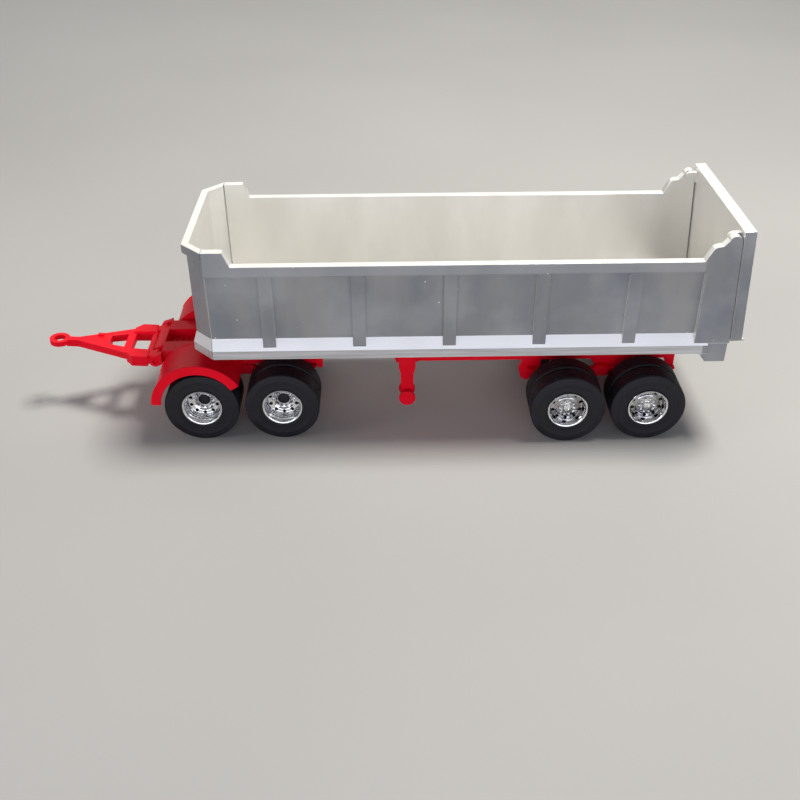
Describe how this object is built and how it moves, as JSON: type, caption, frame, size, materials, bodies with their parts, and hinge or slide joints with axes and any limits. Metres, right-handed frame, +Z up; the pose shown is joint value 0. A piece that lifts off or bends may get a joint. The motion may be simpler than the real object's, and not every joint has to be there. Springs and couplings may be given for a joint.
{
  "type": "toy dump trailer",
  "caption": "Scale-model dump trailer: open tipping bed with a top-hinged tailgate and hoist on a gooseneck frame, carried by dual wheels and a steered dolly with a drawbar.",
  "frame": {"origin": "on the ground under the middle of the trailer's overall length and width", "axes": "+X along the trailer towards the tailgate, the drawbar at -X; +Y towards the trailer's right-hand side; +Z up"},
  "size_m": [0.392, 0.1048, 0.1269],
  "materials": {
    "silver_plastic": "satin metallic grey moulded plastic with faint flow marks",
    "red_plastic": "glossy bright red moulded plastic",
    "chrome": "bright chrome plating",
    "tyre_rubber": "matte black soft vinyl"
  },
  "bodies": {
    "chassis": {"frame_rail_left": "red_plastic", "frame_rail_right": "red_plastic", "crossmember_mid": "red_plastic", "crossmember_rear": "red_plastic", "turntable_plate": "red_plastic", "kingpin": "red_plastic", "bed_hinge_pin": "red_plastic", "landing_leg_left": "red_plastic", "landing_leg_right": "red_plastic", "landing_brace": "red_plastic", "rear_spring_left": "red_plastic", "rear_spring_right": "red_plastic", "rear_axle_1": "red_plastic", "rear_axle_2": "red_plastic"},
    "dump_bed": {"bed_floor": "silver_plastic", "bed_bulkhead": "silver_plastic", "bed_side_left": "silver_plastic", "bed_side_right": "silver_plastic", "bed_rear_bolster": "silver_plastic", "hoist_bracket": "silver_plastic"},
    "tailgate": {"tailgate": "silver_plastic"},
    "dolly": {"dolly_frame": "red_plastic", "turntable_ring": "red_plastic", "fender_left": "red_plastic", "fender_right": "red_plastic", "dolly_spring_left": "red_plastic", "dolly_spring_right": "red_plastic", "dolly_axle_1": "red_plastic", "dolly_axle_2": "red_plastic", "drawbar_pin": "red_plastic"},
    "drawbar": {"drawbar": "red_plastic"},
    "hoist_barrel": {"hoist_barrel": "red_plastic"},
    "hoist_stage_1": {"hoist_stage_1": "chrome"},
    "hoist_stage_2": {"hoist_stage_2": "chrome"},
    "wheel_dolly_1_left": {"rim_dolly_1_left": "chrome", "tyre_outer_dolly_1_left": "tyre_rubber", "tyre_inner_dolly_1_left": "tyre_rubber"},
    "wheel_dolly_1_right": {"rim_dolly_1_right": "chrome", "tyre_outer_dolly_1_right": "tyre_rubber", "tyre_inner_dolly_1_right": "tyre_rubber"},
    "wheel_dolly_2_left": {"rim_dolly_2_left": "chrome", "tyre_outer_dolly_2_left": "tyre_rubber", "tyre_inner_dolly_2_left": "tyre_rubber"},
    "wheel_dolly_2_right": {"rim_dolly_2_right": "chrome", "tyre_outer_dolly_2_right": "tyre_rubber", "tyre_inner_dolly_2_right": "tyre_rubber"},
    "wheel_rear_1_left": {"rim_rear_1_left": "chrome", "tyre_outer_rear_1_left": "tyre_rubber", "tyre_inner_rear_1_left": "tyre_rubber"},
    "wheel_rear_1_right": {"rim_rear_1_right": "chrome", "tyre_outer_rear_1_right": "tyre_rubber", "tyre_inner_rear_1_right": "tyre_rubber"},
    "wheel_rear_2_left": {"rim_rear_2_left": "chrome", "tyre_outer_rear_2_left": "tyre_rubber", "tyre_inner_rear_2_left": "tyre_rubber"},
    "wheel_rear_2_right": {"rim_rear_2_right": "chrome", "tyre_outer_rear_2_right": "tyre_rubber", "tyre_inner_rear_2_right": "tyre_rubber"},
    "landing_wheels_left": {"landing_wheels_left": "red_plastic"},
    "landing_wheels_right": {"landing_wheels_right": "red_plastic"}
  },
  "joints": [
    {"name": "dump_tilt", "type": "hinge", "parent": "chassis", "child": "dump_bed", "pos_m": [0.17388, 0, 0.05], "axis": [0, 1, 0], "range_deg": [0, 45]},
    {"name": "tailgate_swing", "type": "hinge", "parent": "dump_bed", "child": "tailgate", "pos_m": [0.18168, 0, 0.121], "axis": [0, -1, 0], "range_deg": [0, 90]},
    {"name": "dolly_turn", "type": "hinge", "parent": "chassis", "child": "dolly", "pos_m": [-0.07942, 0, 0.045], "axis": [0, 0, 1], "range_deg": [-30, 30]},
    {"name": "drawbar_pitch", "type": "hinge", "parent": "dolly", "child": "drawbar", "pos_m": [-0.13062, 0, 0.038], "axis": [0, 1, 0], "range_deg": [-25, 20]},
    {"name": "hoist_tilt", "type": "hinge", "parent": "chassis", "child": "hoist_barrel", "pos_m": [0.08288, 0, 0.04], "axis": [0, 1, 0], "range_deg": [0, 70]},
    {"name": "hoist_stage_1_slide", "type": "slide", "parent": "hoist_barrel", "child": "hoist_stage_1", "axis": [-0.9907, 0, 0.1362], "range_m": [0, 0.0272]},
    {"name": "hoist_stage_2_slide", "type": "slide", "parent": "hoist_stage_1", "child": "hoist_stage_2", "axis": [-0.9907, 0, 0.1362], "range_m": [0, 0.0272]},
    {"name": "spin_dolly_1_left", "type": "hinge", "parent": "dolly", "child": "wheel_dolly_1_left", "pos_m": [-0.10212, 0, 0.021], "axis": [0, 1, 0], "continuous": true},
    {"name": "spin_dolly_1_right", "type": "hinge", "parent": "dolly", "child": "wheel_dolly_1_right", "pos_m": [-0.10212, 0, 0.021], "axis": [0, 1, 0], "continuous": true},
    {"name": "spin_dolly_2_left", "type": "hinge", "parent": "dolly", "child": "wheel_dolly_2_left", "pos_m": [-0.05672, 0, 0.021], "axis": [0, 1, 0], "continuous": true},
    {"name": "spin_dolly_2_right", "type": "hinge", "parent": "dolly", "child": "wheel_dolly_2_right", "pos_m": [-0.05672, 0, 0.021], "axis": [0, 1, 0], "continuous": true},
    {"name": "spin_rear_1_left", "type": "hinge", "parent": "chassis", "child": "wheel_rear_1_left", "pos_m": [0.10398, 0, 0.021], "axis": [0, 1, 0], "continuous": true},
    {"name": "spin_rear_1_right", "type": "hinge", "parent": "chassis", "child": "wheel_rear_1_right", "pos_m": [0.10398, 0, 0.021], "axis": [0, 1, 0], "continuous": true},
    {"name": "spin_rear_2_left", "type": "hinge", "parent": "chassis", "child": "wheel_rear_2_left", "pos_m": [0.14948, 0, 0.021], "axis": [0, 1, 0], "continuous": true},
    {"name": "spin_rear_2_right", "type": "hinge", "parent": "chassis", "child": "wheel_rear_2_right", "pos_m": [0.14948, 0, 0.021], "axis": [0, 1, 0], "continuous": true},
    {"name": "spin_landing_left", "type": "hinge", "parent": "chassis", "child": "landing_wheels_left", "pos_m": [0.01428, 0, 0.0163], "axis": [0, 1, 0], "continuous": true},
    {"name": "spin_landing_right", "type": "hinge", "parent": "chassis", "child": "landing_wheels_right", "pos_m": [0.01428, 0, 0.0163], "axis": [0, 1, 0], "continuous": true}
  ],
  "couplings": [
    {"joint": "hoist_tilt", "follows": "dump_tilt", "ratio": 1.548},
    {"joint": "hoist_stage_1_slide", "follows": "dump_tilt", "m_per_rad": 0.034423},
    {"joint": "hoist_stage_2_slide", "follows": "dump_tilt", "m_per_rad": 0.034423}
  ]
}
